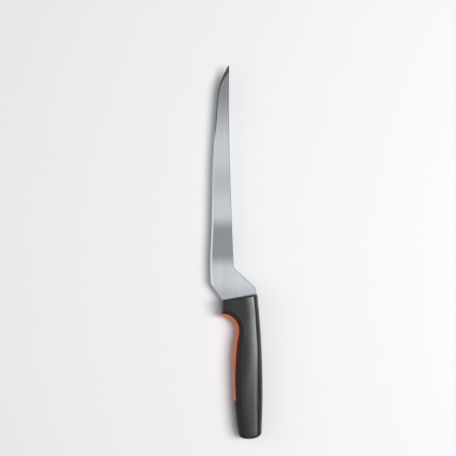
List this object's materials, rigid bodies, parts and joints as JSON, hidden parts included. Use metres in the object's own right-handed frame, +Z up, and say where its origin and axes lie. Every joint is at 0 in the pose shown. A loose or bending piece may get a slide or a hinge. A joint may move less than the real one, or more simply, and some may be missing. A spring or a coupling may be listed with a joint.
{
  "type": "fillet knife",
  "caption": "Long narrow fillet knife with a cranked heel, and a moulded soft handle with a deep finger recess and an inlaid underside.",
  "frame": {"origin": "middle of the knife in plan, on the surface that its handle's side rests on", "axes": "+Y from the butt to the tip, +X from the cutting edge to the spine, +Z up, square to the blade's mid plane"},
  "size_m": [0.0491, 0.35, 0.019],
  "materials": {
    "steel": "satin",
    "core_plastic": "matte",
    "orange_plastic": "satin",
    "black_grip": "matte",
    "black_cap": "satin"
  },
  "bodies": {
    "root": {"blade": "steel", "handle_core": "core_plastic", "finger_inlay": "orange_plastic", "soft_grip": "black_grip", "end_cap": "black_cap"}
  },
  "joints": []
}
